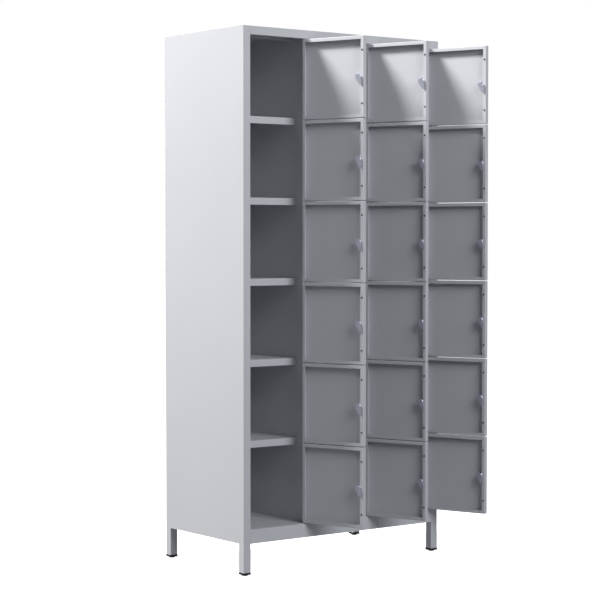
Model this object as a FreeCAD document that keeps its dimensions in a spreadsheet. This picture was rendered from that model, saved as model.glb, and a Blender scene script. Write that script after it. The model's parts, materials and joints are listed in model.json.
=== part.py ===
import FreeCAD, Part
import Sketcher
import math
import os
import re
from FreeCAD import Placement, Rotation, Vector

# Free-standing steel parcel locker: three columns of six compartments, each with its own hinged
# door and cam lock, on four square legs.  Millimetres, +Z up.  Sizes are worked out from the
# front left corner of the cabinet at floor level, and every piece is then moved so that the
# origin lies under the middle of the whole object's box, as it stands with its doors open.

COLUMNS = 3
ROWS = 6
LEVELS = ROWS + 1
BOUNDARIES = range(1, ROWS)

DIMENSIONS = {
    # carcass
    "cabinet_width": 900,
    "cabinet_depth": 500,
    "cabinet_height": 1930,
    "sheet": 1,
    "wall": 30,
    "bay": 260,
    "top_rail_height": 30,
    "bottom_rail_height": 50,
    "rail_depth": 18,
    "under_base": 112,
    # shelves
    "shelf_thickness": 25,
    "shelf_recess": 80,
    "shelf_return": 12,
    # legs
    "leg_side": 30,
    "leg_wall": 1.5,
    "cap_height": 8,
    "cap_flange": 4,
    "glide_radius": 11.5,
    "glide_chamfer": 1.5,
    # doors
    "door_depth": 20,
    "door_flange": 12,
    "row_gap": 2.5,
    "hinge_gap": 2,
    "latch_gap": 3,
    "open_angle": 110,
    # hinges
    "hinge_inset": 8,
    "hinge_setback": 5.2,
    "pin_radius": 2.5,
    "clearance": 0.05,
    "bush_wall": 1.25,
    "bush_length": 8,
    "bush_flange": 1.2,
    "pin_reach": 7,
    "plate_thickness": 1.5,
    "plate_reach": 16,
    "plate_depth": 12,
    # cam locks
    "lock_inset": 20,
    "lock_radius": 9.5,
    "lock_reach": 24,
    "lock_head_radius": 11.5,
    "lock_head": 3,
    "plug_radius": 6,
    "nut_radius": 15,
    "nut_height": 6,
    "cam_gap": 1,
    "cam_thickness": 3,
    "cam_length": 30,
    "cam_boss": 10,
    "cam_tip": 7,
    "cam_nut_radius": 7,
    "cam_nut_height": 5,
    "cam_angle": 65,
    "key_slot_width": 1.6,
    "key_slot_length": 8,
    "key_slot_depth": 2,
    # buffers, stops and cam slots
    "buffer_radius": 3.2,
    "buffer_stem": 2,
    "buffer_height": 2.2,
    "buffer_inset": 50,
    "stop_side": 12,
    "stop_sheet": 1.5,
    "stop_front": 22.5,
    "stop_clear": 46,
    "slot_front": 24,
    "slot_depth": 6,
    "slot_above": 12,
    "slot_below": 42,
    # fixing holes in the back panel
    "fixing_radius": 4,
    "fixing_spacing": 780,
    "fixing_below_top": 50,
}


def value(name):
    """Driving dimension as a plain number."""
    return float(DIMENSIONS[name])


OPENING_TOP = value("cabinet_height") - value("top_rail_height")
OPENING_BOTTOM = value("under_base") + value("bottom_rail_height")
DOOR_WIDTH = value("bay") - value("hinge_gap") - value("latch_gap")
DOOR_HEIGHT = (OPENING_TOP - OPENING_BOTTOM - LEVELS * value("row_gap")) / ROWS
DOOR_PITCH = DOOR_HEIGHT + value("row_gap")
BAY_PITCH = value("bay") + value("wall")


def footprint_centre():
    """Middle of the object's box on the floor, with the doors standing open."""
    angle = math.radians(value("open_angle"))
    arm = DOOR_WIDTH - value("hinge_inset")
    setback = value("hinge_setback")
    last_pin = hinge_x(COLUMNS)
    right = last_pin - arm * math.cos(angle) + setback * math.sin(angle)
    inner = value("door_depth") - setback
    front = setback - arm * math.sin(angle) + inner * math.cos(angle)
    return Vector(right / 2, (front + value("cabinet_depth")) / 2, 0)


def bay_left(column):
    """Left edge of a column's opening."""
    return value("wall") + (column - 1) * BAY_PITCH


def hinge_x(column):
    """Hinge pin's place across the cabinet, near the right edge of the opening."""
    return bay_left(column) + value("bay") - value("hinge_gap") - value("hinge_inset")


def door_bottom(row):
    """Lower edge of a door; row 1 is the top row."""
    return OPENING_BOTTOM + value("row_gap") + (ROWS - row) * DOOR_PITCH


def lock_height(row):
    """Height of a door's lock axis."""
    return door_bottom(row) + DOOR_HEIGHT / 2


def boundary(level):
    """Middle of the gap under row number `level`; 0 is the gap over the top row."""
    return OPENING_TOP - value("row_gap") / 2 - level * DOOR_PITCH


document = FreeCAD.newDocument("ParcelLocker")
sheet = document.addObject("Spreadsheet::Sheet", "Dimensions")
for line, (alias, number) in enumerate(DIMENSIONS.items(), start=1):
    sheet.set("A%d" % line, alias)
    sheet.set("B%d" % line, str(number))
    sheet.setAlias("B%d" % line, alias)
document.recompute()

ORIGIN = footprint_centre()
nodes = []


def formula(text):
    """Expression in which each driving dimension is read from the sheet."""
    def from_sheet(match):
        word = match.group()
        return "Dimensions." + word if word in DIMENSIONS else word
    return re.sub(r"[a-z_]+", from_sheet, str(text))


def bind(thing, **formulas):
    """Ties properties of an object to expressions of the sheet."""
    for name, text in formulas.items():
        thing.setExpression(name, formula(text))
    return thing


def place(thing, corner):
    """Ties an object's position to expressions of the sheet."""
    for axis, text in zip("xyz", corner):
        thing.setExpression("Placement.Base." + axis, formula(text))
    return thing


def box(name, size, corner):
    """Rectangular block from its size and lowest corner."""
    block = document.addObject("Part::Box", name)
    bind(block, Length=size[0], Width=size[1], Height=size[2])
    return place(block, corner)


def rod(name, radius, length, base, axis="z"):
    """Round bar along y or z from the centre of its first end."""
    bar = document.addObject("Part::Cylinder", name)
    turns = {"y": Rotation(Vector(1, 0, 0), -90), "z": Rotation()}
    bar.Placement = Placement(Vector(), turns[axis])
    bind(bar, Radius=radius, Height=length)
    return place(bar, base)


def cut(name, base, *tools):
    """Base with one or more tools taken away."""
    tool = tools[0] if len(tools) == 1 else group(name + "_tools", tools)
    result = document.addObject("Part::Cut", name)
    result.Base = base
    result.Tool = tool
    return result


def fuse(name, *pieces):
    """Several overlapping or touching pieces made into one solid."""
    result = document.addObject("Part::MultiFuse", name)
    result.Shapes = list(pieces)
    result.Refine = True
    return result


def group(name, members):
    """Separate solids kept together as one object."""
    result = document.addObject("Part::Compound", name)
    result.Links = list(members)
    return result


def node(thing, label, placement=None):
    """Gives a finished sub-part its label and its place relative to the object's origin."""
    thing.Label = label
    thing.Placement = Placement(-ORIGIN, Rotation()).multiply(placement or Placement())
    nodes.append(thing)
    return thing


def new_sketch(body, name):
    """Empty sketch on the body's XY plane."""
    plane = next(feature for feature in body.Origin.OriginFeatures if feature.Role == "XY_Plane")
    sketch = body.newObject("Sketcher::SketchObject", name)
    sketch.AttachmentSupport = [(plane, "")]
    sketch.MapMode = "FlatFace"
    return sketch


def outline(sketch, corners):
    """Closed outline of straight edges, each corner tied to a pair of expressions."""
    first = sketch.GeometryCount
    count = len(corners)
    for index in range(count):
        start = 2 * math.pi * index / count
        end = 2 * math.pi * (index + 1) / count
        edge = Part.LineSegment(
            Vector(math.cos(start), math.sin(start), 0), Vector(math.cos(end), math.sin(end), 0)
        )
        sketch.addGeometry(edge)
    for index, (across, up) in enumerate(corners):
        here = first + index
        before = first + (index - 1) % count
        sketch.addConstraint(Sketcher.Constraint("Coincident", before, 2, here, 1))
        for kind, text in (("DistanceX", across), ("DistanceY", up)):
            number = sketch.addConstraint(Sketcher.Constraint(kind, -1, 1, here, 1, 1.0))
            sketch.setExpression("Constraints[%d]" % number, formula(text))


def rectangle(sketch, left, right, low, high):
    """Rectangle from the expressions of its four sides."""
    outline(sketch, ((left, low), (right, low), (right, high), (left, high)))


def padded(name, left, right, low, high, length):
    """Rectangular pad along Z from the expressions of its four sides and its length."""
    body = document.addObject("PartDesign::Body", name)
    sketch = new_sketch(body, name + "_plan")
    rectangle(sketch, left, right, low, high)
    feature = body.newObject("PartDesign::Pad", name + "_pad")
    feature.Profile = sketch
    bind(feature, Length=length)
    return body


def turned(name, corners):
    """Solid of revolution about the body's Y axis: corners are (radius, distance along Y)."""
    body = document.addObject("PartDesign::Body", name)
    sketch = new_sketch(body, name + "_profile")
    outline(sketch, corners)
    feature = body.newObject("PartDesign::Revolution", name + "_turn")
    feature.Profile = sketch
    feature.ReferenceAxis = (sketch, ["V_Axis"])
    feature.Angle = 360
    return body


def hexagon(name, radius, height, base):
    """Hexagonal block along +Y from the centre of its first face."""
    prism = document.addObject("Part::Prism", name)
    prism.Polygon = 6
    prism.Placement = Placement(Vector(), Rotation(Vector(1, 0, 0), -90))
    bind(prism, Circumradius=radius, Height=height)
    return place(prism, base)


# ---------------------------------------------------------------- carcass

def cassette(name, left, slotted):
    """Hollow double-skinned wall; the right skin has a slot for each cam that locks into it."""
    height = "cabinet_height - under_base - 2 * sheet"
    outer = box(
        name + "_outer", ("wall", "cabinet_depth - sheet", height), (left, "0", "under_base + sheet")
    )
    inner = box(
        name + "_hollow",
        ("wall - 2 * sheet", "cabinet_depth - 3 * sheet", height),
        ("%s + sheet" % left, "sheet", "under_base + sheet"),
    )
    tools = [inner]
    if slotted:
        for row in range(1, ROWS + 1):
            slot_size = ("2 * sheet", "slot_depth", "slot_above + slot_below")
            low = "%f - slot_below" % lock_height(row)
            corner = ("%s + wall - 1.5 * sheet" % left, "slot_front", low)
            tools.append(box(name + "_slot", slot_size, corner))
    return cut(name, outer, *tools)


def tray(name, left, front, top):
    """Shelf pan: a flat top with four sides turned down and a lip turned back under its front."""
    depth = "cabinet_depth - sheet - (%s)" % front
    low = "(%s) - shelf_thickness" % top
    outer = box(name + "_outer", ("bay", depth, "shelf_thickness"), (left, front, low))
    hollow = box(
        name + "_hollow",
        ("bay - 2 * sheet", depth + " - 2 * sheet", "shelf_thickness - 2 * sheet"),
        ("%s + sheet" % left, "(%s) + sheet" % front, low + " + sheet"),
    )
    mouth = box(
        name + "_mouth",
        ("bay - 2 * sheet", depth + " - 2 * sheet - shelf_return", "2 * sheet"),
        ("%s + sheet" % left, "(%s) + sheet + shelf_return" % front, low + " - sheet / 2"),
    )
    return cut(name, outer, hollow, mouth)


def trays(label, front, top):
    """One shelf pan for each column at the same height."""
    columns = range(1, COLUMNS + 1)
    members = [tray("%s_%d" % (label, column), bay_left(column), front, top) for column in columns]
    return node(group(label, members), label)


def rail(label, low, height, fold_at_bottom):
    """Front rail, one length for each column, folded back along its bottom or its top."""
    members = []
    for column in range(1, COLUMNS + 1):
        left = bay_left(column)
        face = box(label + "_face", ("bay", "sheet", height), (left, "0", low))
        fold_low = low if fold_at_bottom else "(%s) + (%s) - sheet" % (low, height)
        fold = box(label + "_fold", ("bay", "rail_depth", "sheet"), (left, "0", fold_low))
        members.append(fuse("%s_%d" % (label, column), face, fold))
    return node(group(label, members), label)


for column in range(COLUMNS + 1):
    labels = ("side_panel_left", "partition_left", "partition_right", "side_panel_right")
    left = column * BAY_PITCH
    node(cassette(labels[column], left, column < COLUMNS), labels[column])

back = box("back_sheet", ("cabinet_width", "sheet", "cabinet_height - under_base"),
           ("0", "cabinet_depth - sheet", "under_base"))
fixing_holes = [
    rod("fixing_hole", "fixing_radius", "3 * sheet",
        ("cabinet_width / 2 + %d * fixing_spacing / 2" % side, "cabinet_depth - 2 * sheet",
         "cabinet_height - fixing_below_top"), axis="y")
    for side in (-1, 1)
]
node(cut("back_panel", back, *fixing_holes), "back_panel")

for label, level in (("top_panel", "cabinet_height - sheet"), ("base_panel", "under_base")):
    plate = box(label + "_plate", ("cabinet_width", "cabinet_depth - sheet", "sheet"), ("0", "0", level))
    node(group(label, [plate]), label)

rail("top_rail", OPENING_TOP, "top_rail_height - sheet", True)
rail("bottom_rail", "under_base + sheet", "bottom_rail_height - sheet", False)
trays("ceiling_panels", "shelf_recess", "%f + shelf_thickness - row_gap / 2" % OPENING_TOP)
trays("floor_panels", "rail_depth", OPENING_BOTTOM)
for level in BOUNDARIES:
    trays("shelves_level_%d" % level, "shelf_recess", "%f + shelf_thickness / 2" % boundary(level))


# ---------------------------------------------------------------- legs

def leg(label, left, front):
    """Square tube under one corner of the base, closed at its top."""
    length = "under_base - cap_height"
    tube = box(label + "_tube", ("leg_side", "leg_side", length), (left, front, "cap_height"))
    bore_side = "leg_side - 2 * leg_wall"
    bore = box(label + "_bore", (bore_side, bore_side, length),
               ("%s + leg_wall" % left, "%s + leg_wall" % front, "cap_height - leg_wall"))
    return node(cut(label, tube, bore), label)


def foot_cap(left, front):
    """Plastic end cap: a square flange over the tube's end on a round chamfered glide."""
    middle = ("%s + leg_side / 2" % left, "%s + leg_side / 2" % front)
    flange = box("cap_plate", ("leg_side", "leg_side", "cap_flange"),
                 (left, front, "cap_height - cap_flange"))
    cone = document.addObject("Part::Cone", "cap_chamfer")
    bind(cone, Radius1="glide_radius - glide_chamfer", Radius2="glide_radius", Height="glide_chamfer")
    place(cone, (middle[0], middle[1], "0"))
    glide = rod("cap_glide", "glide_radius", "cap_height - cap_flange - glide_chamfer",
                (middle[0], middle[1], "glide_chamfer"))
    return fuse("foot_cap", flange, cone, glide)


caps = []
for side, left in (("left", "0"), ("right", "cabinet_width - leg_side")):
    for end, front in (("front", "0"), ("rear", "cabinet_depth - leg_side")):
        leg("leg_%s_%s" % (end, side), left, front)
        caps.append(foot_cap(left, front))
node(group("foot_caps", caps), "foot_caps")


# ---------------------------------------------------------------- hinges and door stops

def hinge_plate(column, level):
    """Small lug on the jamb, in the gap between two doors, with a hole for their common pin."""
    right = bay_left(column) + value("bay")
    low = "%f - plate_thickness / 2" % boundary(level)
    lug = box("lug", ("plate_reach", "plate_depth", "plate_thickness"),
              ("%f - plate_reach" % right, "sheet / 2", low))
    hole = rod("lug_hole", "pin_radius", "3 * plate_thickness",
               (hinge_x(column), "hinge_setback", low + " - plate_thickness"))
    return cut("hinge_plate", lug, hole)


def hinge_pin(column, level):
    """Pin fixed in a lug; it reaches into the door above it and the door below it."""
    up = "pin_reach" if level > 0 else "0"
    down = "pin_reach" if level < ROWS else "0"
    low = "%f - plate_thickness / 2 - %s" % (boundary(level), down)
    length = "plate_thickness + %s + %s" % (up, down)
    return rod("hinge_pin", "pin_radius", length, (hinge_x(column), "hinge_setback", low))


def door_stop(column, low, high):
    """Length of angle on the latch jamb that a door's rubber buffers close against."""
    left = bay_left(column)
    length = "%f" % (high - low)
    face = box("stop_face", ("stop_side", "stop_sheet", length), (left, "stop_front", low))
    foot = box("stop_foot", ("stop_sheet", "stop_side", length), (left, "stop_front", low))
    return fuse("door_stop", face, foot)


plates = []
pins = []
stops = []
for column in range(1, COLUMNS + 1):
    for level in range(LEVELS):
        plates.append(hinge_plate(column, level))
        pins.append(hinge_pin(column, level))
        high = OPENING_TOP if level == 0 else lock_height(level) - value("stop_clear")
        low = OPENING_BOTTOM if level == ROWS else lock_height(level + 1) + value("stop_clear")
        stops.append(door_stop(column, low, high))
node(group("hinge_plates", plates), "hinge_plates")
node(group("hinge_pins", pins), "hinge_pins")
node(group("door_stops", stops), "door_stops")


# ---------------------------------------------------------------- doors
# A door is drawn closed, in a frame whose Z axis is its hinge pin and whose Z = 0 is its lower
# edge: X runs to the hinge edge, Y runs into the cabinet.

DOOR_RIGHT = "hinge_inset"
DOOR_LEFT = "hinge_inset + hinge_gap + latch_gap - bay"
DOOR_FACE = "-hinge_setback"
LOCK_X = "(%s) + lock_inset" % DOOR_LEFT
LOCK_Z = "%f" % (DOOR_HEIGHT / 2)
BUFFER_HEIGHTS = ("buffer_inset", "%f - buffer_inset" % DOOR_HEIGHT)


def buffer_base(height, offset):
    """Point on a buffer's axis, measured from the outside of the door's flange."""
    return ("(%s) + door_flange / 2" % DOOR_LEFT, "door_depth - hinge_setback + (%s)" % offset, height)


def door_pan(name):
    """Folded pan: a flat face, a rim all round it, a flange turned in at the rim's edge, and its holes."""
    height = "%f" % DOOR_HEIGHT
    block = padded(name + "_block", DOOR_LEFT, DOOR_RIGHT, DOOR_FACE, "door_depth - hinge_setback", height)
    hollow = box(
        name + "_hollow",
        ("bay - hinge_gap - latch_gap - 2 * sheet", "door_depth - 2 * sheet", height + " - 2 * sheet"),
        ("(%s) + sheet" % DOOR_LEFT, "sheet - hinge_setback", "sheet"),
    )
    window = box(
        name + "_window",
        ("bay - hinge_gap - latch_gap - 2 * door_flange", "3 * sheet", height + " - 2 * door_flange"),
        ("(%s) + door_flange" % DOOR_LEFT, "door_depth - 2 * sheet - hinge_setback", "door_flange"),
    )
    lock_base = (LOCK_X, "-hinge_setback - sheet", LOCK_Z)
    lock_hole = rod(name + "_lock_hole", "lock_radius", "3 * sheet", lock_base, "y")
    pin_holes = [
        rod(name + "_pin_hole", "pin_radius + clearance + bush_wall", "3 * sheet", ("0", "0", low))
        for low in ("-sheet", height + " - 2 * sheet")
    ]
    buffer_holes = [
        rod(name + "_buffer_hole", "buffer_stem", "3 * sheet", buffer_base(low, "-2 * sheet"), "y")
        for low in BUFFER_HEIGHTS
    ]
    return cut(name + "_pan", block, hollow, window, lock_hole, *(pin_holes + buffer_holes))


def rubber_buffer(name, height):
    """Rubber button pushed through the flange."""
    head = rod(name + "_head", "buffer_radius", "buffer_height", buffer_base(height, "0"), "y")
    stem = rod(name + "_stem", "buffer_stem", "2 * sheet", buffer_base(height, "-2 * sheet"), "y")
    return fuse(name, head, stem)


def bush(name, upper):
    """Flanged plastic bush in the rim, bored for the hinge pin."""
    outer_radius = "pin_radius + clearance + bush_wall"
    inside = "%f - sheet - bush_flange" % DOOR_HEIGHT if upper else "sheet"
    low = "%f - bush_length" % DOOR_HEIGHT if upper else "0"
    sleeve = rod(name + "_sleeve", outer_radius, "bush_length", ("0", "0", low))
    collar = rod(name + "_collar", outer_radius + " + sheet / 4", "bush_flange", ("0", "0", inside))
    body = fuse(name + "_body", sleeve, collar)
    bore = rod(name + "_bore", "pin_radius + clearance", "3 * bush_length",
               ("0", "0", low + " - bush_length"))
    return cut(name, body, bore)


def lock_housing(name):
    """Threaded barrel of the lock with its round head outside the door, bored for the plug."""
    bore = "plug_radius + clearance"
    body = turned(
        name,
        (
            (bore, "-lock_head"),
            ("lock_head_radius", "-lock_head"),
            ("lock_head_radius", "0"),
            ("lock_radius", "0"),
            ("lock_radius", "lock_reach"),
            (bore, "lock_reach"),
        ),
    )
    return place(body, (LOCK_X, "-hinge_setback", LOCK_Z))


def lock_nut(name):
    """Hexagonal nut that clamps the barrel against the inside of the door."""
    base = (LOCK_X, "sheet - hinge_setback", LOCK_Z)
    block = hexagon(name + "_block", "nut_radius", "nut_height", base)
    bore = rod(name + "_bore", "lock_radius", "2 * nut_height", (LOCK_X, "-hinge_setback", LOCK_Z), "y")
    return cut(name, block, bore)


def cam_pieces(name):
    """Plug, cam and cam nut, which turn together with the key; the cam points down at an angle."""
    plug_front = "-hinge_setback - lock_head"
    plug = rod(name + "_plug_bar", "plug_radius", "lock_head + lock_reach + cam_gap",
               (LOCK_X, plug_front, LOCK_Z), "y")
    slot = box(
        name + "_key_slot",
        ("key_slot_width", "2 * key_slot_depth", "key_slot_length"),
        (LOCK_X + " - key_slot_width / 2", plug_front + " - key_slot_depth",
         LOCK_Z + " - key_slot_length / 2"),
    )
    cam_front = "lock_reach + cam_gap - hinge_setback"
    boss = rod(name + "_boss", "cam_boss", "cam_thickness", (LOCK_X, cam_front, LOCK_Z), "y")
    reach = "(cam_length - cam_tip)"
    tip_x = LOCK_X + " - %s * cos(cam_angle * 1 deg)" % reach
    tip_z = LOCK_Z + " - %s * sin(cam_angle * 1 deg)" % reach
    tip = rod(name + "_tip", "cam_tip", "cam_thickness", (tip_x, cam_front, tip_z), "y")
    arm = box(name + "_arm", (reach, "cam_thickness", "2 * cam_tip"), ("0", "0", "-cam_tip"))
    arm_turn = document.addObject("Part::Compound", name + "_arm_turned")
    arm_turn.Links = [arm]
    arm_turn.Placement = Placement(Vector(), Rotation(Vector(0, 1, 0), 180 - value("cam_angle")))
    place(arm_turn, (LOCK_X, cam_front, LOCK_Z))
    cam_back = cam_front + " + cam_thickness"
    nut = hexagon(name + "_nut", "cam_nut_radius", "cam_nut_height", (LOCK_X, cam_back, LOCK_Z))
    return [cut(name + "_plug", plug, slot), fuse(name + "_cam", boss, tip, arm_turn), nut]


def open_placement(column, row):
    """Place of a door that stands open, turned about its hinge pin."""
    swing = Rotation(Vector(0, 0, 1), value("open_angle"))
    return Placement(Vector(hinge_x(column), value("hinge_setback"), door_bottom(row)), swing)


for row in range(1, ROWS + 1):
    for column in range(1, COLUMNS + 1):
        tag = "r%d_c%d" % (row, column)
        name = "door_" + tag
        solids = [door_pan(name), lock_housing(name + "_lock"), lock_nut(name + "_nut")]
        solids += [bush(name + "_bush_low", False), bush(name + "_bush_high", True)]
        solids += [rubber_buffer(name + "_buffer", height) for height in BUFFER_HEIGHTS]
        node(group(name, solids), name, open_placement(column, row))
        cam_name = "lock_cam_" + tag
        node(group(cam_name, cam_pieces(cam_name)), cam_name, open_placement(column, row))


# ---------------------------------------------------------------- check and write

document.recompute()
for thing in document.Objects:
    if "Invalid" in thing.State or "Error" in thing.State:
        raise RuntimeError("%s could not be made: %s" % (thing.Label, thing.State))
for thing in nodes:
    if thing.Shape.isNull() or not thing.Shape.isValid():
        raise RuntimeError("%s has no valid shape" % thing.Label)
os.makedirs("parts", exist_ok=True)
for thing in nodes:
    thing.Shape.exportStep("parts/%s.step" % thing.Label)
print("%d nodes, %d solids" % (len(nodes), sum(len(thing.Shape.Solids) for thing in nodes)))
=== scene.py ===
"""Visual model of a steel parcel locker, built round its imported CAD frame, in metres."""

import json
import math

import bmesh
import bpy
from mathutils import Matrix, Vector


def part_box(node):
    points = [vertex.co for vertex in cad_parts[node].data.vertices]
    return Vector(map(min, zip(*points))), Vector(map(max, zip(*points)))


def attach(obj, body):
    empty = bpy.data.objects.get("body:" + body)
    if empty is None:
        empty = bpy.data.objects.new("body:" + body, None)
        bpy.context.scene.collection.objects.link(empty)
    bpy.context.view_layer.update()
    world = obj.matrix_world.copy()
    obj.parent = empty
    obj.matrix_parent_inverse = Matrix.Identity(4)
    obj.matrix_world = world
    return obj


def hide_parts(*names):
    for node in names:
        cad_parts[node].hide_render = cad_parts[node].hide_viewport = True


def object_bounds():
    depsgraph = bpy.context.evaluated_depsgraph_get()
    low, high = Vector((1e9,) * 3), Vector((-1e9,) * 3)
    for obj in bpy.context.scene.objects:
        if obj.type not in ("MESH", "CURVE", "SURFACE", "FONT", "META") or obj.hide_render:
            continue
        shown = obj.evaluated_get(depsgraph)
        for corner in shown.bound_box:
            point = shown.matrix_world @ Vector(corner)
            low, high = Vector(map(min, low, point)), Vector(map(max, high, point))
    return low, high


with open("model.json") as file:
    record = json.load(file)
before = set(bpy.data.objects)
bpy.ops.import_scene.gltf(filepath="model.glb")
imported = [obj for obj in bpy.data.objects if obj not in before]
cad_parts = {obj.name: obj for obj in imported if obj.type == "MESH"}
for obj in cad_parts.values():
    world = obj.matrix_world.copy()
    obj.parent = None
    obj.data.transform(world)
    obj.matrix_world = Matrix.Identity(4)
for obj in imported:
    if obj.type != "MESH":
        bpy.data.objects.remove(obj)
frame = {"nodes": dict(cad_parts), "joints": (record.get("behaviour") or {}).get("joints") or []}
cad_low, cad_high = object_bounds()

MM = 0.001
COLUMNS, ROWS = 3, 6

# Sheet metal and door sizes, which the part is made to.
SHEET = 1.0 * MM
DOOR_WIDTH = 255 * MM
DOOR_DEPTH = 20 * MM
DOOR_FLANGE = 12 * MM
HINGE_INSET = 8 * MM
HINGE_SETBACK = 5.2 * MM
SHELF_RETURN = 12 * MM
LOCK_INSET = 20 * MM
BUFFER_INSET = 50 * MM
BEND = 1.6 * MM
INNER_BEND = 0.6 * MM
CUT_EDGE = 0.15 * MM
LEG_WALL = 1.5 * SHEET

# Cam slots in the jambs, from the front and from the lock's axis.
SLOT_FRONT, SLOT_BACK, SLOT_BELOW, SLOT_ABOVE = 24 * MM, 30 * MM, 42 * MM, 12 * MM

# Fixing holes in the back, from its middle and its top.
FIXING_OFFSET, FIXING_DROP, FIXING_RADIUS = 390 * MM, 50 * MM, 4 * MM

# Foot caps: a collar round the foot of each leg, over a round glide.
CAP_LOW, CAP_TOP, CAP_OVERHANG, CAP_GAP = 4 * MM, 11 * MM, 1.3 * MM, 0.05 * MM

joints = {joint["name"]: joint for joint in frame["joints"]}


# ---------------------------------------------------------------- materials

def add(tree, kind, **values):
    """New shader node with some of its inputs or properties set."""
    made = tree.nodes.new(kind)
    for name, value in values.items():
        if hasattr(made, name):
            setattr(made, name, value)
        else:
            made.inputs[name.replace("_", " ")].default_value = value
    return made


def blank(name):
    """Material with a Principled shader and nothing else."""
    material = bpy.data.materials.new(name)
    material.use_nodes = True
    tree = material.node_tree
    return material, tree, tree.nodes["Principled BSDF"]


def coordinates(tree):
    """Object coordinates, moved by a different amount for each object."""
    place = add(tree, "ShaderNodeTexCoord")
    who = add(tree, "ShaderNodeObjectInfo")
    far = add(tree, "ShaderNodeVectorMath", operation="SCALE")
    tree.links.new(who.outputs["Random"], far.inputs[0])
    far.inputs["Scale"].default_value = 7.3
    moved = add(tree, "ShaderNodeVectorMath", operation="ADD")
    tree.links.new(place.outputs["Object"], moved.inputs[0])
    tree.links.new(far.outputs[0], moved.inputs[1])
    return moved.outputs[0]


def noise(tree, where, scale, detail=2.0, roughness=0.5):
    """Noise texture's factor at a scale in cycles per metre."""
    texture = add(tree, "ShaderNodeTexNoise", Scale=scale, Detail=detail, Roughness=roughness)
    tree.links.new(where, texture.inputs["Vector"])
    return texture.outputs["Fac"]


def ranged(tree, source, low, high, new_low, new_high):
    """Factor mapped from one range to another, held at the ends."""
    mapped = add(tree, "ShaderNodeMapRange")
    tree.links.new(source, mapped.inputs["Value"])
    for name, value in zip(("From Min", "From Max", "To Min", "To Max"), (low, high, new_low, new_high)):
        mapped.inputs[name].default_value = value
    return mapped.outputs["Result"]


def blended(tree, factor, first, second):
    """Colour between two colours or outputs by a factor."""
    mix = add(tree, "ShaderNodeMix", data_type="RGBA")
    tree.links.new(factor, mix.inputs["Factor"])
    for socket, colour in ((mix.inputs[6], first), (mix.inputs[7], second)):
        if isinstance(colour, tuple):
            socket.default_value = (*colour, 1.0)
        else:
            tree.links.new(colour, socket)
    return mix.outputs[2]


def bumped(tree, height, distance, strength=1.0, under=None):
    """Normal bumped by a height, over another bump if there is one."""
    bump = add(tree, "ShaderNodeBump", Strength=strength, Distance=distance)
    tree.links.new(height, bump.inputs["Height"])
    if under is not None:
        tree.links.new(under, bump.inputs["Normal"])
    return bump.outputs["Normal"]


def powder_coat(name, pale, deep, gloss, wear):
    """Satin powder coat: orange peel, slow waviness of the sheet, faint mottling, and rubbed specks."""
    material, tree, shader = blank(name)
    where = coordinates(tree)
    cloud = noise(tree, where, 2.2, 3.0)
    mottle = noise(tree, where, 26.0, 4.0, 0.6)
    colour = blended(tree, ranged(tree, cloud, 0.35, 0.65, 0.0, 1.0), deep, pale)
    grain = ranged(tree, mottle, 0.3, 0.7, 0.0, 0.35)
    colour = blended(tree, grain, colour, tuple(c * 0.975 for c in pale))
    rubbed = ranged(tree, noise(tree, where, 210.0, 5.0, 0.7), 0.66, 0.72, 0.0, wear)
    colour = blended(tree, rubbed, colour, tuple(min(1.0, c * 1.18) for c in pale))
    tree.links.new(colour, shader.inputs["Base Color"])
    tree.links.new(ranged(tree, mottle, 0.25, 0.75, gloss - 0.05, gloss + 0.06), shader.inputs["Roughness"])
    shader.inputs["Specular IOR Level"].default_value = 0.42
    wave = bumped(tree, noise(tree, where, 3.0, 1.0), 0.9 * MM, 0.5)
    peel = bumped(tree, noise(tree, where, 620.0, 2.0), 0.05 * MM, 0.5, wave)
    tree.links.new(peel, shader.inputs["Normal"])
    return material


def plated(name, tint, gloss, scratch_scale, metallic=1.0):
    """Bright plated metal with fine drawn scratches and slight tarnish."""
    material, tree, shader = blank(name)
    where = coordinates(tree)
    stretched = add(tree, "ShaderNodeVectorMath", operation="MULTIPLY")
    stretched.inputs[1].default_value = (1.0, 0.08, 1.0)
    tree.links.new(where, stretched.inputs[0])
    scratches = noise(tree, stretched.outputs[0], scratch_scale, 3.0, 0.6)
    tarnish = noise(tree, where, 90.0, 4.0)
    shade = ranged(tree, tarnish, 0.35, 0.7, 0.0, 0.5)
    colour = blended(tree, shade, tint, tuple(c * 0.82 for c in tint))
    tree.links.new(colour, shader.inputs["Base Color"])
    tree.links.new(ranged(tree, scratches, 0.3, 0.7, gloss - 0.06, gloss + 0.08), shader.inputs["Roughness"])
    tree.links.new(bumped(tree, scratches, 0.03 * MM, 0.4), shader.inputs["Normal"])
    shader.inputs["Metallic"].default_value = metallic
    return material


def moulded(name, dark, light, gloss, grain_scale, grain_height):
    """Moulded plastic or rubber with a fine grain and dusty patches."""
    material, tree, shader = blank(name)
    where = coordinates(tree)
    dust = ranged(tree, noise(tree, where, 70.0, 5.0, 0.65), 0.45, 0.75, 0.0, 1.0)
    tree.links.new(blended(tree, dust, dark, light), shader.inputs["Base Color"])
    tree.links.new(ranged(tree, dust, 0.0, 1.0, gloss, gloss + 0.15), shader.inputs["Roughness"])
    grain = noise(tree, where, grain_scale, 3.0, 0.6)
    tree.links.new(bumped(tree, grain, grain_height, 0.6), shader.inputs["Normal"])
    return material


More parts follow.
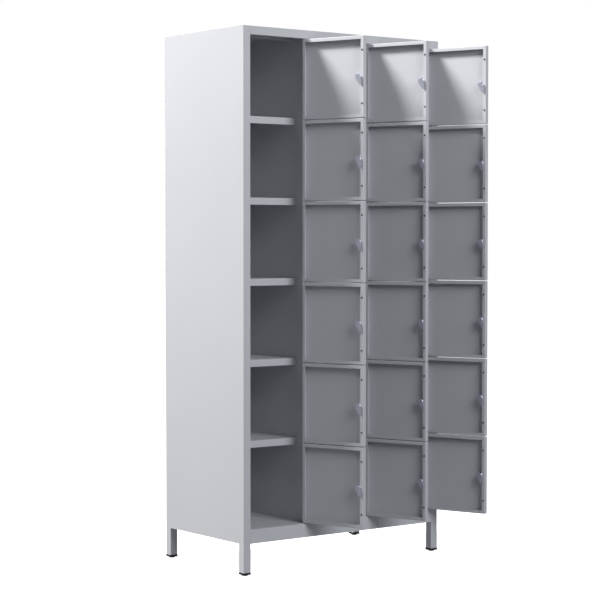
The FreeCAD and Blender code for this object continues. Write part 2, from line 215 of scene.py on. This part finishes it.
PALE = (0.640, 0.645, 0.672)
DEEP = (0.620, 0.626, 0.655)
paint = powder_coat("powder_coat_grey", PALE, DEEP, 0.44, 0.25)
# Lighter, glossier copy for the rounded bends: its lighter base colour is painted highlight on the folds, and
# its dense rubbed specks are wear.
paint_fold_highlight_and_wear = powder_coat("powder_coat_fold_highlight_and_wear", tuple(c * 1.04 for c in PALE), PALE, 0.36, 0.9)
# The blue cast of the nickel tint is a painted reflection of bluish surroundings.
nickel_painted_blue_reflection = plated("nickel_plate_painted_blue_reflection", (0.72, 0.74, 0.85), 0.30, 900.0, 0.7)
# Edge copy of the nickel, lighter and bluer: painted highlight and painted reflection on the rounded edges of
# the lock.
nickel_edge_highlight_and_reflection = plated("nickel_edge_painted_highlight", (0.80, 0.82, 0.90), 0.30, 1400.0, 0.8)
zinc = plated("zinc_plate", (0.60, 0.60, 0.61), 0.34, 700.0)
black_plastic = moulded(
    "black_plastic", (0.012, 0.012, 0.014), (0.045, 0.045, 0.050), 0.42, 1800.0, 0.06 * MM
)
black_edge = moulded(
    "black_plastic_scuffed", (0.03, 0.03, 0.034), (0.09, 0.09, 0.095), 0.50, 1500.0, 0.06 * MM
)
rubber = moulded("rubber", (0.030, 0.030, 0.016), (0.070, 0.068, 0.045), 0.62, 2400.0, 0.08 * MM)
nylon = moulded("nylon", (0.10, 0.10, 0.11), (0.16, 0.16, 0.17), 0.40, 1600.0, 0.04 * MM)

# Each finish with the material for its rounded edges; the paint and nickel edge materials are lighter copies
# that paint a highlight on the bends.
LOOKS = {
    "painted_steel": (paint, paint_fold_highlight_and_wear),
    "lock_metal": (nickel_painted_blue_reflection, nickel_edge_highlight_and_reflection),
    "zinc_plated_steel": (zinc, zinc),
    "black_plastic": (black_plastic, black_edge),
    "rubber_black": (rubber, rubber),
    "nylon_bush": (nylon, nylon),
}


# ---------------------------------------------------------------- mesh making

def weighted(bm):
    """Layer that holds the share of the widest bend that each edge is rounded by."""
    layer = bm.edges.layers.float.get("bevel_weight_edge")
    return layer or bm.edges.layers.float.new("bevel_weight_edge")


def lofted(loops, ring_radii, side_radii, closed=False):
    """Skin over loops of equal length, capped at both ends unless it closes on itself."""
    bm = bmesh.new()
    layer = weighted(bm)
    rings = [[bm.verts.new(point) for point in loop] for loop in loops]
    count = len(loops[0])
    spans = len(rings) if closed else len(rings) - 1
    for index in range(spans):
        here, there = rings[index], rings[(index + 1) % len(rings)]
        for k in range(count):
            bm.faces.new((here[k], here[(k + 1) % count], there[(k + 1) % count], there[k]))
    if not closed:
        bm.faces.new(list(reversed(rings[0])))
        bm.faces.new(rings[-1])
    for ring, radius in zip(rings, ring_radii):
        for k in range(count):
            bm.edges.get((ring[k], ring[(k + 1) % count]))[layer] = radius / BEND
    for index, radius in enumerate(side_radii[:spans]):
        for k in range(count):
            edge = bm.edges.get((rings[index][k], rings[(index + 1) % len(rings)][k]))
            edge[layer] = radius / BEND
    bmesh.ops.remove_doubles(bm, verts=bm.verts, dist=1e-6)
    bmesh.ops.dissolve_degenerate(bm, edges=bm.edges, dist=1e-6)
    bmesh.ops.recalc_face_normals(bm, faces=bm.faces)
    return bm


def rectangle(axis, at, first, second):
    """Corners of a rectangle square to an axis; first and second are its ranges along the other two."""
    corners = ((first[0], second[0]), (first[1], second[0]), (first[1], second[1]), (first[0], second[1]))
    made = []
    for a, b in corners:
        values = [a, b]
        values.insert("xyz".index(axis), at)
        made.append(Vector(values))
    return made


def extruded(outline, start, end, corner_radius):
    """Prism along X from an outline of (y, z) points."""
    loops = [[Vector((x, y, z)) for y, z in outline] for x in (start, end)]
    bm = lofted(loops, (0.0, 0.0), (0.0,))
    layer = weighted(bm)
    for edge in bm.edges:
        if abs(edge.verts[0].co.x - edge.verts[1].co.x) > 1e-6:
            edge[layer] = corner_radius / BEND
    return bm


def lathed(profile, turns=40, closed=True):
    """Solid of revolution about Y from (radius, y) points, which close into a loop or meet the axis."""
    bm = bmesh.new()
    weighted(bm)
    rings = []
    for radius, y in profile:
        if radius < 1e-7:
            rings.append([bm.verts.new((0, y, 0))])
            continue
        angles = (math.tau * k / turns for k in range(turns))
        rings.append([bm.verts.new((radius * math.cos(a), y, radius * math.sin(a))) for a in angles])
    pairs = list(zip(rings, rings[1:]))
    if closed:
        pairs.append((rings[-1], rings[0]))
    for here, there in pairs:
        if len(here) == 1 and len(there) == 1:
            continue
        for k in range(turns):
            nxt = (k + 1) % turns
            corners = [
                here[k % len(here)], here[nxt % len(here)], there[nxt % len(there)], there[k % len(there)],
            ]
            bm.faces.new(list(dict.fromkeys(corners)))
    bmesh.ops.recalc_face_normals(bm, faces=bm.faces)
    return bm


def hex_nut(radius, bore, low, high, chamfer, turns=48):
    """Hexagonal nut along Y with both ends chamfered to a cone."""
    flat = radius * math.cos(math.pi / 6)
    cone = radius - flat

    def rim(angle, y):
        across = flat / math.cos((angle + math.pi / 6) % (math.pi / 3) - math.pi / 6)
        to_end = min(y - low, high - y)
        return min(across, flat - 0.02 * MM + cone * to_end / chamfer)

    steps = [chamfer * k / 4 for k in range(5)]
    levels = [low + s for s in steps] + [high - s for s in reversed(steps)]
    loops = [[
        Vector((rim(a, y) * math.cos(a), y, rim(a, y) * math.sin(a)))
        for a in (math.tau * k / turns for k in range(turns))
    ] for y in levels]
    for y in (high, low):
        loops.append([
            Vector((bore * math.cos(a), y, bore * math.sin(a)))
            for a in (math.tau * k / turns for k in range(turns))
        ])
    return lofted(loops, (0,) * len(loops), (0,) * len(loops), closed=True)


def block(low, high):
    """Plain box mesh for cutting."""
    across, deep = (low[0], high[0]), (low[1], high[1])
    return lofted([rectangle("z", z, across, deep) for z in (low[2], high[2])], (0, 0), (0,))


def bar(centre, radius, start, end, axis="y"):
    """Round bar mesh for cutting, along an axis through a centre."""
    bm = lathed([(0, start), (radius, start), (radius, end), (0, end)], 32, closed=False)
    if axis == "z":
        bmesh.ops.rotate(bm, verts=bm.verts, matrix=Matrix.Rotation(math.pi / 2, 3, "X"))
    bmesh.ops.translate(bm, verts=bm.verts, vec=centre)
    bmesh.ops.recalc_face_normals(bm, faces=bm.faces)
    return bm


def to_mesh(bm, name):
    """Mesh from a bmesh, which is freed."""
    mesh = bpy.data.meshes.new(name)
    bm.to_mesh(mesh)
    bm.free()
    return mesh


def joined(name, *parts):
    """One mesh from several separate shells."""
    whole = bmesh.new()
    weighted(whole)
    for part in parts:
        piece = to_mesh(part, name + "_part")
        whole.from_mesh(piece)
        bpy.data.meshes.remove(piece)
    return whole


def evaluated(mesh, prepare):
    """Mesh after the modifiers that prepare adds to an object of it."""
    holder = bpy.data.objects.new("holder", mesh)
    bpy.context.scene.collection.objects.link(holder)
    helpers = prepare(holder) or []
    bpy.context.view_layer.update()
    graph = bpy.context.evaluated_depsgraph_get()
    made = bpy.data.meshes.new_from_object(
        holder.evaluated_get(graph), preserve_all_data_layers=True, depsgraph=graph
    )
    for thing in [holder, *helpers]:
        bpy.data.objects.remove(thing)
    return made


def shaped(name, bm, slot, cutters=(), segments=3, smooth_angle=38.0):
    """Finished mesh: folds rounded by their weights, holes cut, flat faces kept flat in shading."""
    start = to_mesh(bm, name)
    for material in LOOKS[slot]:
        start.materials.append(material)

    def cut_and_round(holder):
        bevel = holder.modifiers.new("folds", "BEVEL")
        bevel.width = BEND
        bevel.segments = segments
        bevel.limit_method = "WEIGHT"
        bevel.use_clamp_overlap = False
        # Rounded faces take the second material; for paint and nickel that is a lighter copy, a painted
        # highlight on the bends.
        bevel.material = 1
        helpers = []
        if cutters:
            tool = bpy.data.objects.new("cutter", to_mesh(joined("cutter", *cutters), "cutter"))
            bpy.context.scene.collection.objects.link(tool)
            helpers.append(tool)
            boolean = holder.modifiers.new("holes", "BOOLEAN")
            boolean.operation = "DIFFERENCE"
            boolean.solver = "EXACT"
            boolean.object = tool
        return helpers

    rough = evaluated(start, cut_and_round)
    rough.shade_smooth()
    rough.set_sharp_from_angle(angle=math.radians(smooth_angle))

    def keep_flat(holder):
        normals = holder.modifiers.new("normals", "WEIGHTED_NORMAL")
        normals.keep_sharp = True
        normals.weight = 80

    final = evaluated(rough, keep_flat)
    final.name = name
    return final


def piece(name, mesh, body, slot, nodes=(), where=None):
    """Shown piece that rides on a CAD body and stands for CAD nodes."""
    made = bpy.data.objects.new(name, mesh)
    bpy.context.scene.collection.objects.link(made)
    made.matrix_world = where or Matrix.Identity(4)
    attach(made, body)
    if nodes:
        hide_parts(*nodes)
    return made


# ---------------------------------------------------------------- carcass

def span(node):
    """Ranges of a node's box along x, y and z."""
    low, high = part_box(node)
    return [(low[k], high[k]) for k in range(3)]


def shrunk(limits, amount):
    """Range drawn in at both ends."""
    return limits[0] + amount, limits[1] - amount


WALLS = ("side_panel_left", "partition_left", "partition_right", "side_panel_right")
walls = [span(name) for name in WALLS]
bays = [(left[0][1], right[0][0]) for left, right in zip(walls, walls[1:])]
lock_levels = [joints["lock_r%d_c1_turn" % row]["pos_m"][2] for row in range(1, ROWS + 1)]
front = walls[0][1][0]

for index, (name, (x, y, z)) in enumerate(zip(WALLS, walls)):
    inner_x, inner_y = shrunk(x, SHEET), shrunk(y, SHEET)
    tube = lofted(
        [rectangle("z", z[0], x, y), rectangle("z", z[1], x, y),
         rectangle("z", z[1], inner_x, inner_y), rectangle("z", z[0], inner_x, inner_y)],
        (0,) * 4, (BEND * 0.75, 0, INNER_BEND, 0), closed=True,
    )
    slots = []
    if index < COLUMNS:
        slots = [
            block((x[1] - 1.5 * SHEET, front + SLOT_FRONT, level - SLOT_BELOW),
                  (x[1] + SHEET, front + SLOT_BACK, level + SLOT_ABOVE))
            for level in lock_levels
        ]
    piece(name + "_shell", shaped(name, tube, "painted_steel", slots), "cabinet", "painted_steel", [name])

for name in ("top_panel", "base_panel"):
    x, y, z = span(name)
    flat = lofted([rectangle("z", level, x, y) for level in z], (0.35 * MM, 0.35 * MM), (0.35 * MM,))
    piece(name + "_sheet", shaped(name, flat, "painted_steel"), "cabinet", "painted_steel", [name])

x, y, z = span("back_panel")
sheet = lofted([rectangle("y", level, x, z) for level in y], (CUT_EDGE, 0.3 * MM), (CUT_EDGE,))
fixings = [
    bar((sum(x) / 2 + side * FIXING_OFFSET, 0, z[1] - FIXING_DROP), FIXING_RADIUS,
        y[0] - 2 * MM, y[1] + 2 * MM)
    for side in (-1, 1)
]
back = shaped("back_panel", sheet, "painted_steel", fixings)
piece("back_panel_sheet", back, "cabinet", "painted_steel", ["back_panel"])

for name, fold_low in (("top_rail", True), ("bottom_rail", False)):
    _, y, z = span(name)
    if fold_low:
        outline = [(y[0], z[1]), (y[0], z[0]), (y[1], z[0]), (y[1], z[0] + SHEET),
                   (y[0] + SHEET, z[0] + SHEET), (y[0] + SHEET, z[1])]
    else:
        outline = [(y[0], z[0]), (y[0], z[1]), (y[1], z[1]), (y[1], z[1] - SHEET),
                   (y[0] + SHEET, z[1] - SHEET), (y[0] + SHEET, z[0])]
    for column, (left, right) in enumerate(bays, start=1):
        rail = extruded(outline, left, right, CUT_EDGE)
        layer = weighted(rail)
        for edge in rail.edges:
            along = abs(edge.verts[0].co.x - edge.verts[1].co.x) > 1e-6
            middle = (edge.verts[0].co + edge.verts[1].co) / 2
            if along and abs(middle.y - y[0]) < 1e-6 and abs(middle.z - outline[1][1]) < 1e-6:
                edge[layer] = 0.8
        piece("%s_c%d" % (name, column), shaped(name, rail, "painted_steel"), "cabinet", "painted_steel", [name])


def tray(limits, thickness_z, return_depth):
    """Shelf pan with its sides turned down and a lip turned back under its front."""
    x, y = limits
    low, high = thickness_z
    inner_x, inner_y = shrunk(x, SHEET), shrunk(y, SHEET)
    mouth_y = (inner_y[0] + return_depth, inner_y[1])
    return lofted(
        [rectangle("z", high, x, y), rectangle("z", low, x, y), rectangle("z", low, inner_x, mouth_y),
         rectangle("z", low + SHEET, inner_x, mouth_y), rectangle("z", low + SHEET, inner_x, inner_y),
         rectangle("z", high - SHEET, inner_x, inner_y)],
        (BEND * 0.8, CUT_EDGE, 0, 0, 0, 0.4 * MM), (0.3 * MM, 0, 0, 0, 0.3 * MM),
    )


TRAYS = ["ceiling_panels"] + ["shelves_level_%d" % level for level in range(1, ROWS)] + ["floor_panels"]
for name in TRAYS:
    _, y, z = span(name)
    for column, limits in enumerate(bays, start=1):
        mesh = shaped(name, tray((limits, y), z, SHELF_RETURN), "painted_steel")
        piece("%s_c%d" % (name, column), mesh, "cabinet", "painted_steel", [name])

for side in ("left", "right"):
    for end in ("front", "rear"):
        name = "leg_%s_%s" % (end, side)
        x, y, z = span(name)
        tube = lofted(
            [rectangle("z", z[1], x, y), rectangle("z", z[0], x, y),
             rectangle("z", z[0], shrunk(x, LEG_WALL), shrunk(y, LEG_WALL)),
             rectangle("z", z[1] - LEG_WALL, shrunk(x, LEG_WALL), shrunk(y, LEG_WALL))],
            (0, 0.2 * MM, 0, 0), (BEND * 0.9, 0, 0.4 * MM),
        )
        piece(name + "_tube", shaped(name, tube, "painted_steel"), "cabinet", "painted_steel", [name])
        middle = Vector((sum(x) / 2, sum(y) / 2, 0))
        half = (x[1] - x[0]) / 2
        outer, inner = half + CAP_OVERHANG, half + CAP_GAP
        rims = ((CAP_LOW, outer), (CAP_TOP, outer), (CAP_TOP, inner), (z[0] - CAP_GAP, inner))
        collar = lofted(
            [rectangle("z", level, (-reach, reach), (-reach, reach)) for level, reach in rims],
            (0.6 * MM, 0.3 * MM, 0, 0), (1.6 * MM, 0, 0),
        )
        glide = lathed(
            [(0, 0), (9.4 * MM, 0), (10.6 * MM, 0.4 * MM), (11.3 * MM, 1.2 * MM), (11.5 * MM, 2.2 * MM),
             (11.5 * MM, 4.4 * MM), (0, 4.4 * MM)],
            closed=False,
        )
        bmesh.ops.rotate(glide, verts=glide.verts, matrix=Matrix.Rotation(math.pi / 2, 3, "X"))
        cap = joined("foot_cap", collar, glide)
        bmesh.ops.recalc_face_normals(cap, faces=cap.faces)
        piece("foot_cap_%s_%s" % (end, side), shaped("foot_cap", cap, "black_plastic"),
              "cabinet", "black_plastic", ["foot_caps"], Matrix.Translation(middle))

for name, material in (("hinge_plates", paint), ("hinge_pins", zinc), ("door_stops", paint)):
    node = frame["nodes"][name]
    for held in node.material_slots:
        held.material = material


# ---------------------------------------------------------------- doors

door_low, door_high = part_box("door_r1_c1")
DOOR_HEIGHT = door_high.z - door_low.z
LEFT, RIGHT = HINGE_INSET - DOOR_WIDTH, HINGE_INSET
FACE, BACK = -HINGE_SETBACK, DOOR_DEPTH - HINGE_SETBACK
LOCK = Vector((LEFT + LOCK_INSET, FACE, DOOR_HEIGHT / 2))


def door_pan():
    """Folded pan drawn closed: Z along the hinge pin, X to the hinge edge, Y into the cabinet."""
    across, up = (LEFT, RIGHT), (0, DOOR_HEIGHT)
    levels = (
        (FACE, 0), (BACK, 0), (BACK, DOOR_FLANGE), (BACK - SHEET, DOOR_FLANGE),
        (BACK - SHEET, SHEET), (FACE + SHEET, SHEET),
    )
    pan = lofted(
        [rectangle("y", y, shrunk(across, inset), shrunk(up, inset)) for y, inset in levels],
        (BEND, BEND, CUT_EDGE, CUT_EDGE, INNER_BEND, INNER_BEND), (BEND * 0.6, 0, 0, 0, 0.3 * MM),
    )
    cuts = [bar((LOCK.x, 0, LOCK.z), 9.6 * MM, FACE - MM, FACE + 3 * MM)]
    for z in (0, DOOR_HEIGHT):
        cuts.append(bar((0, 0, z), 3.85 * MM, -2.5 * MM, 2.5 * MM, "z"))
    for z in (BUFFER_INSET, DOOR_HEIGHT - BUFFER_INSET):
        cuts.append(bar((LEFT + DOOR_FLANGE / 2, 0, z), 2.05 * MM, BACK - 2 * SHEET, BACK + 2 * SHEET))
    for x, toward_x in ((LEFT, 1), (RIGHT, -1)):
        for z, toward_z in ((0, 1), (DOOR_HEIGHT, -1)):
            slit = block((-0.2 * MM, BACK - 1.6 * SHEET, 2.0 * MM), (0.2 * MM, BACK + SHEET, 18 * MM))
            turn = Matrix.Rotation(math.atan2(toward_x, toward_z), 3, "Y")
            bmesh.ops.rotate(slit, verts=slit.verts, matrix=turn)
            bmesh.ops.translate(slit, verts=slit.verts, vec=(x, 0, z))
            cuts.append(slit)
    return shaped("door_pan", pan, "painted_steel", cuts)


def lock_body():
    """Lock barrel with a rounded outer head and a threaded shank with two flats, and its clamping nut."""
    bore, head, shank, root, reach = 6.05 * MM, 11.5 * MM, 9.5 * MM, 8.95 * MM, 24 * MM
    profile = [
        (bore, -2.2 * MM), (bore + 0.5 * MM, -2.7 * MM), (7.6 * MM, -3 * MM), (9.6 * MM, -2.9 * MM),
        (10.8 * MM, -2.5 * MM), (11.3 * MM, -1.8 * MM), (head, -0.9 * MM), (head, 0), (shank, 0),
        (shank, 6.2 * MM),
    ]
    pitch = 1.25 * MM
    at = 7.0 * MM
    while at < reach - 1.6 * MM:
        profile += [(root, at), (shank, at + pitch * 0.45), (shank, at + pitch * 0.6)]
        at += pitch
    profile += [
        (root, at), (root, reach - 0.5 * MM), (root - 0.5 * MM, reach), (bore + 0.3 * MM, reach),
        (bore, reach - 0.3 * MM),
    ]
    barrel = lathed(profile, 48)
    for vertex in barrel.verts:
        if vertex.co.y > MM:
            vertex.co.z = max(-8.2 * MM, min(8.2 * MM, vertex.co.z))
    nut = hex_nut(15 * MM, 9.4 * MM, SHEET, 7 * MM, 1.3 * MM)
    return shaped("lock_body", joined("lock", barrel, nut), "lock_metal", smooth_angle=28.0)


def cam_outline(boss, tip, reach, turn, steps=18):
    """Outline of a cam arm as (x, z) points: a round boss drawn out to a round tip."""
    lean = math.acos((boss - tip) / reach)
    points = []
    for radius, centre, start, end in ((boss, 0.0, lean, math.tau - lean), (tip, reach, -lean, lean)):
        for k in range(steps + 1):
            angle = start + (end - start) * k / steps
            points.append((centre + radius * math.cos(angle), radius * math.sin(angle)))
    cos, sin = math.cos(turn), math.sin(turn)
    return [(x * cos - z * sin, x * sin + z * cos) for x, z in points]


CAM_REST = math.radians(joints["lock_r1_c1_turn"]["range_deg"][1])
PLUG, CAM_FRONT, CAM_THICK, STUD = 6 * MM, 25 * MM, 3 * MM, 33 * MM


def lock_cam():
    """Key plug with its slot, the cam plate, its nut and the stud through it."""
    outline = cam_outline(10 * MM, 7 * MM, 23 * MM, math.pi + CAM_REST)
    plate = lofted([[Vector((x, y, z)) for x, z in outline] for y in (CAM_FRONT, CAM_FRONT + CAM_THICK)],
                   (0.35 * MM, 0.35 * MM), (0,))
    plug = lathed([(0, -3 * MM), (5.2 * MM, -3 * MM), (5.8 * MM, -2.7 * MM), (PLUG, -2.2 * MM),
                   (PLUG, CAM_FRONT + 0.4 * MM), (0, CAM_FRONT + 0.4 * MM)], 40, closed=False)
    nut = hex_nut(7 * MM, 3.9 * MM, CAM_FRONT + CAM_THICK, STUD - 0.6 * MM, 0.7 * MM)
    stud = lathed([(0, CAM_FRONT + MM), (4 * MM, CAM_FRONT + MM), (4 * MM, STUD - 0.5 * MM),
                   (3.5 * MM, STUD), (0, STUD)], 32, closed=False)
    key_slot = block((-0.8 * MM, -4 * MM, -4 * MM), (0.8 * MM, -1 * MM, 4 * MM))
    return shaped("lock_cam", joined("cam", plate, plug, nut, stud), "lock_metal", [key_slot], 2, 28.0)


def buffers():
    """Two rubber buttons on the free flange."""
    button = [(0, -1.6 * MM), (2 * MM, -1.6 * MM), (2 * MM, 0), (3.2 * MM, 0), (3.2 * MM, 1.0 * MM),
              (2.9 * MM, 1.6 * MM), (2.2 * MM, 2.05 * MM), (1.1 * MM, 2.2 * MM), (0, 2.2 * MM)]
    made = []
    for z in (BUFFER_INSET, DOOR_HEIGHT - BUFFER_INSET):
        one = lathed(button, 24, closed=False)
        bmesh.ops.translate(one, verts=one.verts, vec=(LEFT + DOOR_FLANGE / 2, BACK, z))
        made.append(one)
    return shaped("buffers", joined("buffers", *made), "rubber_black", smooth_angle=50.0)


def bushes():
    """Two flanged nylon bushes for the hinge pins."""
    bore, outer, collar = 2.6 * MM, 3.8 * MM, 4.05 * MM
    profile = [(bore, 0), (outer, 0), (outer, SHEET), (collar, SHEET), (collar, 2 * SHEET), (outer, 2.2 * SHEET),
               (outer, 7.7 * MM), (outer - 0.3 * MM, 8 * MM), (bore, 8 * MM)]
    made = []
    for turn, z in ((math.pi / 2, 0), (-math.pi / 2, DOOR_HEIGHT)):
        one = lathed(profile, 28)
        bmesh.ops.rotate(one, verts=one.verts, matrix=Matrix.Rotation(turn, 3, "X"))
        bmesh.ops.translate(one, verts=one.verts, vec=(0, 0, z))
        made.append(one)
    return shaped("bushes", joined("bushes", *made), "nylon_bush")


DOOR_PARTS = (
    ("pan", door_pan(), "painted_steel", Matrix.Identity(4)),
    ("lock", lock_body(), "lock_metal", Matrix.Translation(LOCK)),
    ("buffers", buffers(), "rubber_black", Matrix.Identity(4)),
    ("bushes", bushes(), "nylon_bush", Matrix.Identity(4)),
)
cam_mesh = lock_cam()

for row in range(1, ROWS + 1):
    for column in range(1, COLUMNS + 1):
        tag = "r%d_c%d" % (row, column)
        door = "door_" + tag
        hinge = joints[door + "_hinge"]
        base = Vector((hinge["pos_m"][0], hinge["pos_m"][1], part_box(door)[0].z))
        swing = Matrix.Rotation(-math.radians(hinge["range_deg"][0]), 4, "Z")
        open_door = Matrix.Translation(base) @ swing
        for part, mesh, slot, within in DOOR_PARTS:
            piece("%s_%s" % (door, part), mesh, door, slot, [door], open_door @ within)
        piece("lock_cam_%s_arm" % tag, cam_mesh, "lock_" + tag, "lock_metal", ["lock_cam_" + tag],
              open_door @ Matrix.Translation(LOCK))


# ---------------------------------------------------------------- floor, light and camera

floor_mesh = to_mesh(block((-30, -30, -0.02), (30, 30, 0.0)), "floor")
floor = bpy.data.objects.new("floor", floor_mesh)
bpy.context.scene.collection.objects.link(floor)
pale, tree, shader = blank("studio_floor")
shader.inputs["Base Color"].default_value = (0.85, 0.85, 0.86, 1)
shader.inputs["Roughness"].default_value = 0.9
shader.inputs["Specular IOR Level"].default_value = 0.0
shader.inputs["Emission Color"].default_value = (1, 1, 1, 1)
shader.inputs["Emission Strength"].default_value = 0.90
floor_mesh.materials.append(pale)
floor.visible_diffuse = False
floor.visible_glossy = False

world = bpy.data.worlds.new("studio")
bpy.context.scene.world = world
world.use_nodes = True
tree = world.node_tree
backdrop = tree.nodes["Background"]
backdrop.inputs["Color"].default_value = (1, 1, 1, 1)
backdrop.inputs["Strength"].default_value = 1.0
ambient = add(tree, "ShaderNodeBackground")
ambient.inputs["Color"].default_value = (0.90, 0.93, 1.0, 1)
ambient.inputs["Strength"].default_value = 0.20
seen = add(tree, "ShaderNodeLightPath")
either = add(tree, "ShaderNodeMixShader")
tree.links.new(seen.outputs["Is Camera Ray"], either.inputs["Fac"])
tree.links.new(ambient.outputs[0], either.inputs[1])
tree.links.new(backdrop.outputs[0], either.inputs[2])
tree.links.new(either.outputs[0], tree.nodes["World Output"].inputs["Surface"])


def lamp(name, place, target, size, watts, colour):
    """Round soft light at a place, facing a target."""
    data = bpy.data.lights.new(name, "AREA")
    data.shape = "DISK"
    data.size = size
    data.energy = watts
    data.color = colour
    made = bpy.data.objects.new(name, data)
    bpy.context.scene.collection.objects.link(made)
    made.location = place
    made.rotation_euler = (Vector(target) - Vector(place)).to_track_quat("-Z", "Y").to_euler()


centre = Vector((0, 0, cad_high.z / 2))
row_one = Vector((0, -0.15, 1.75))
key_from = Vector((-0.624, 0.402, 0.670))
lamp("key", row_one + key_from * 8.0, row_one, 2.0, 1080, (1.0, 0.995, 0.985))
lamp("front_fill", (-0.2, -5.3, 3.7), centre, 3.6, 180, (0.95, 0.97, 1.0))

YAW, PITCH = math.radians(36.894), math.radians(1.784)
SENSOR_WIDTH, FOCAL_LENGTH = 36.0, 111.67
camera_data = bpy.data.cameras.new("camera")
camera_data.sensor_width = SENSOR_WIDTH
camera_data.lens = FOCAL_LENGTH
camera = bpy.data.objects.new("camera", camera_data)
bpy.context.scene.collection.objects.link(camera)
camera.location = (-4.1798, -5.3755, 1.1860)
camera.rotation_euler = (math.pi / 2 - PITCH, 0, -YAW)
bpy.context.scene.camera = camera
bpy.context.scene.view_settings.view_transform = "Standard"
